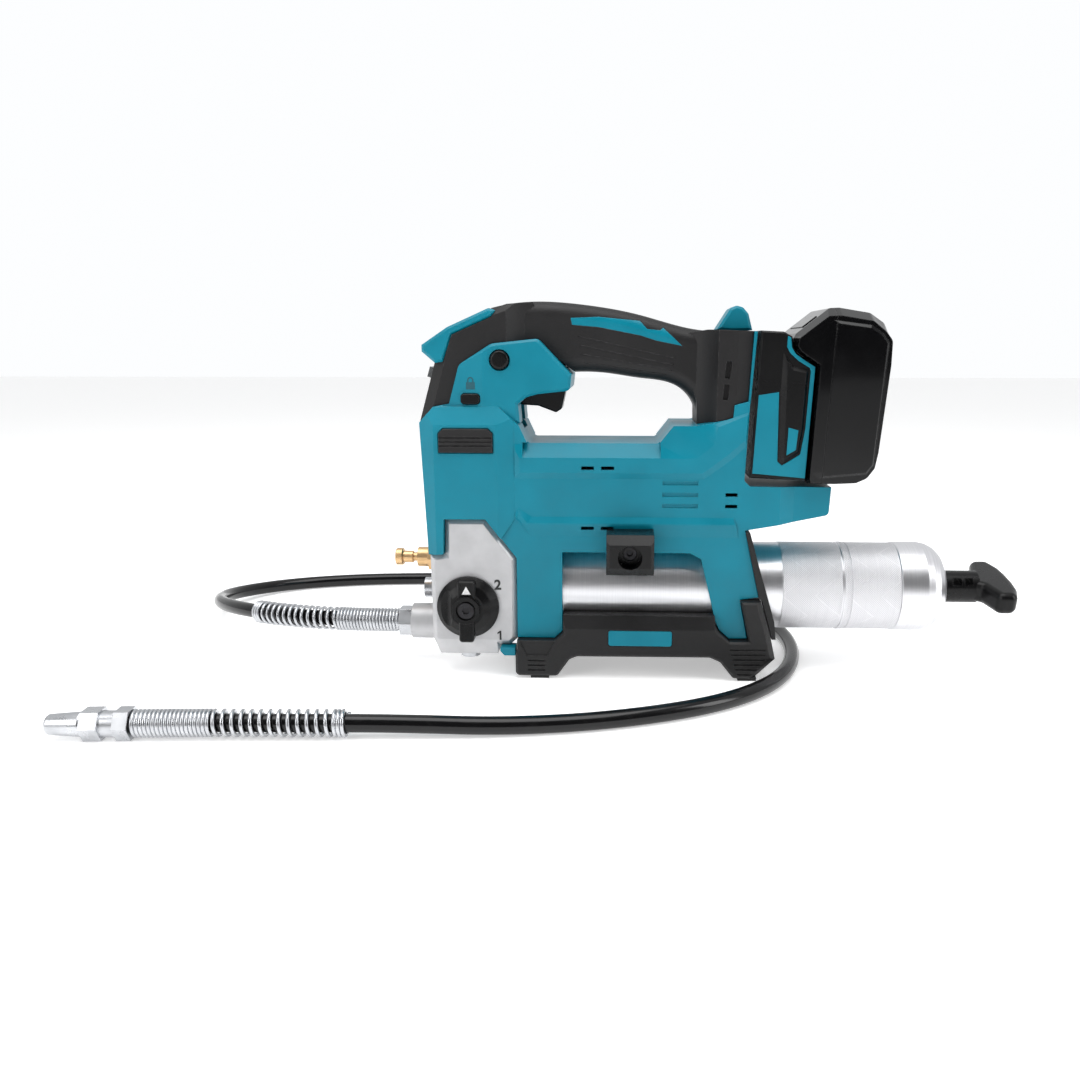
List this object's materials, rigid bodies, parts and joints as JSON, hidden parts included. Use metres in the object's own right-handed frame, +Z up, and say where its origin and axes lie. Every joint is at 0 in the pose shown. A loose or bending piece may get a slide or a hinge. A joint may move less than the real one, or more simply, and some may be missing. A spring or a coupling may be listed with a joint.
{
  "type": "cordless grease gun",
  "caption": "Battery-powered grease gun: pump head with speed selector, screw-on cartridge barrel with pull-back rod, D-handle with trigger, and a hose with a locking coupler.",
  "frame": {"origin": "on the floor, midway between the front and rear feet, on the tool's mid-plane", "axes": "+Z up, +X from the pump head towards the T-handle, -Y towards the side with the selector dial"},
  "size_m": [0.5844, 0.3569, 0.2391],
  "materials": {
    "teal_plastic": "moulded, light satin grain",
    "dark_overmould": "soft-touch overmould",
    "base_rubber": "moulded rubber",
    "black_gloss": "glossy moulded",
    "black_plastic": "fine moulded grain",
    "clear_lens": "clear lens",
    "cast_aluminium": "machined casting",
    "barrel_steel": "brushed, knurled bands",
    "dark_steel": "blackened",
    "zinc_steel": "zinc plated",
    "steel": "ground",
    "brass": "turned",
    "hose_black": "smooth glossy cover",
    "copper": "contact metal",
    "cell_wrap": "shrink wrap",
    "seal_rubber": "nitrile"
  },
  "bodies": {
    "root": {"housing_left": "teal_plastic", "housing_right": "teal_plastic", "housing_screws": "dark_steel", "handle_stripes": "teal_plastic", "grip_left": "dark_overmould", "grip_right": "dark_overmould", "lamp_lens": "clear_lens", "nose_guard": "teal_plastic", "rear_hook": "teal_plastic", "side_pads": "dark_overmould", "base_skid": "base_rubber", "base_badges": "teal_plastic", "rear_bumper": "base_rubber", "hose_holder": "black_plastic", "holder_screw": "dark_steel", "pump_head": "cast_aluminium", "head_plug": "zinc_steel", "outlet_fitting": "zinc_steel", "check_valve": "steel", "relief_valve": "zinc_steel", "bleeder_body": "brass", "motor_can": "dark_steel", "bearings": "steel", "gear_plates": "cast_aluminium", "trigger_pin": "steel", "trigger_spring": "steel", "switch_body": "black_plastic", "battery_dock": "black_plastic", "dock_trims": "teal_plastic", "dock_contacts": "copper", "hose_tube": "hose_black", "hose_guard_front": "zinc_steel", "hose_guard_rear": "zinc_steel", "coupler_ferrule": "zinc_steel", "coupler_body": "zinc_steel"},
    "trigger": {"trigger": "black_plastic"},
    "lock_off": {"lock_off_button": "black_plastic"},
    "lock_on": {"lock_on_button": "black_plastic"},
    "selector": {"selector_dial": "black_plastic", "selector_screw": "dark_steel"},
    "battery": {"battery_case": "black_gloss", "battery_cover": "black_gloss", "battery_cells": "cell_wrap"},
    "battery_release": {"battery_button": "black_gloss"},
    "barrel_carrier": {"barrel_gasket": "seal_rubber"},
    "barrel": {"barrel_tube": "barrel_steel", "end_cap": "barrel_steel", "follower_spring": "steel"},
    "follower": {"follower_piston": "seal_rubber", "follower_seal": "seal_rubber", "follower_rod": "steel"},
    "tee": {"tee_handle": "black_plastic"},
    "bleeder": {"bleeder_stem": "brass"},
    "coupler_lock": {"coupler_sleeve": "zinc_steel"},
    "rotor": {"motor_rotor": "steel", "motor_fan": "black_plastic"},
    "layshaft": {"lay_gear": "steel", "lay_shaft": "steel"},
    "crank": {"crankshaft": "steel"},
    "pump_plunger": {"plunger": "steel"}
  },
  "joints": [
    {"name": "trigger_pull", "type": "hinge", "parent": "root", "child": "trigger", "pos_m": [-0.0846, 0, 0.184], "axis": [0, -1, 0], "range_deg": [0, 9], "stiffness_Nm_per_rad": 0.15, "springref_deg": -17.19, "deforming": ["trigger_spring"]},
    {"name": "lock_off_slide", "type": "slide", "parent": "root", "child": "lock_off", "axis": [0, 1, 0], "range_m": [0, 0.003]},
    {"name": "lock_on_press", "type": "slide", "parent": "root", "child": "lock_on", "axis": [0, 1, 0], "range_m": [0, 0.0025], "stiffness_N_per_m": 400, "springref_m": -0.002},
    {"name": "selector_turn", "type": "hinge", "parent": "root", "child": "selector", "pos_m": [-0.1143, -0.036, 0.0466], "axis": [0, 1, 0], "range_deg": [0, 126]},
    {"name": "battery_slide", "type": "slide", "parent": "root", "child": "battery", "axis": [0.0436, 0, 0.999], "range_m": [0, 0.08]},
    {"name": "battery_button_press", "type": "slide", "parent": "battery", "child": "battery_release", "axis": [0.6184, 0, -0.7859], "range_m": [0, 0.0018], "stiffness_N_per_m": 800, "springref_m": -0.001},
    {"name": "barrel_withdraw", "type": "slide", "parent": "root", "child": "barrel_carrier", "axis": [1, 0, 0], "range_m": [0, 0.17]},
    {"name": "barrel_turn", "type": "hinge", "parent": "barrel_carrier", "child": "barrel", "pos_m": [0, 0, 0.0553], "axis": [1, 0, 0], "continuous": true},
    {"name": "rod_pull", "type": "slide", "parent": "barrel", "child": "follower", "axis": [1, 0, 0], "range_m": [0, 0.18], "deforming": ["follower_spring"]},
    {"name": "tee_turn", "type": "hinge", "parent": "follower", "child": "tee", "pos_m": [0.226, 0, 0.0553], "axis": [1, 0, 0], "range_deg": [0, 90]},
    {"name": "bleeder_press", "type": "slide", "parent": "root", "child": "bleeder", "axis": [1, 0, 0], "range_m": [0, 0.0025], "stiffness_N_per_m": 600, "springref_m": -0.002},
    {"name": "coupler_lock_turn", "type": "hinge", "parent": "root", "child": "coupler_lock", "pos_m": [-0.2835, -0.1394, 0.0085], "axis": [0.9974, 0.0725, 0], "continuous": true},
    {"name": "motor_spin", "type": "hinge", "parent": "root", "child": "rotor", "pos_m": [-0.109, 0, 0.146], "axis": [0, 0, 1], "continuous": true},
    {"name": "layshaft_spin", "type": "hinge", "parent": "root", "child": "layshaft", "pos_m": [-0.109, 0.0144, 0.114], "axis": [0, 0, 1], "continuous": true},
    {"name": "crank_spin", "type": "hinge", "parent": "root", "child": "crank", "pos_m": [-0.109, 0, 0.1], "axis": [0, 0, 1], "continuous": true},
    {"name": "plunger_stroke", "type": "slide", "parent": "root", "child": "pump_plunger", "axis": [-1, 0, 0], "range_m": [0, 0.006]}
  ],
  "couplings": [
    {"joint": "layshaft_spin", "follows": "motor_spin", "ratio": -0.5},
    {"joint": "crank_spin", "follows": "motor_spin", "ratio": 0.25}
  ]
}
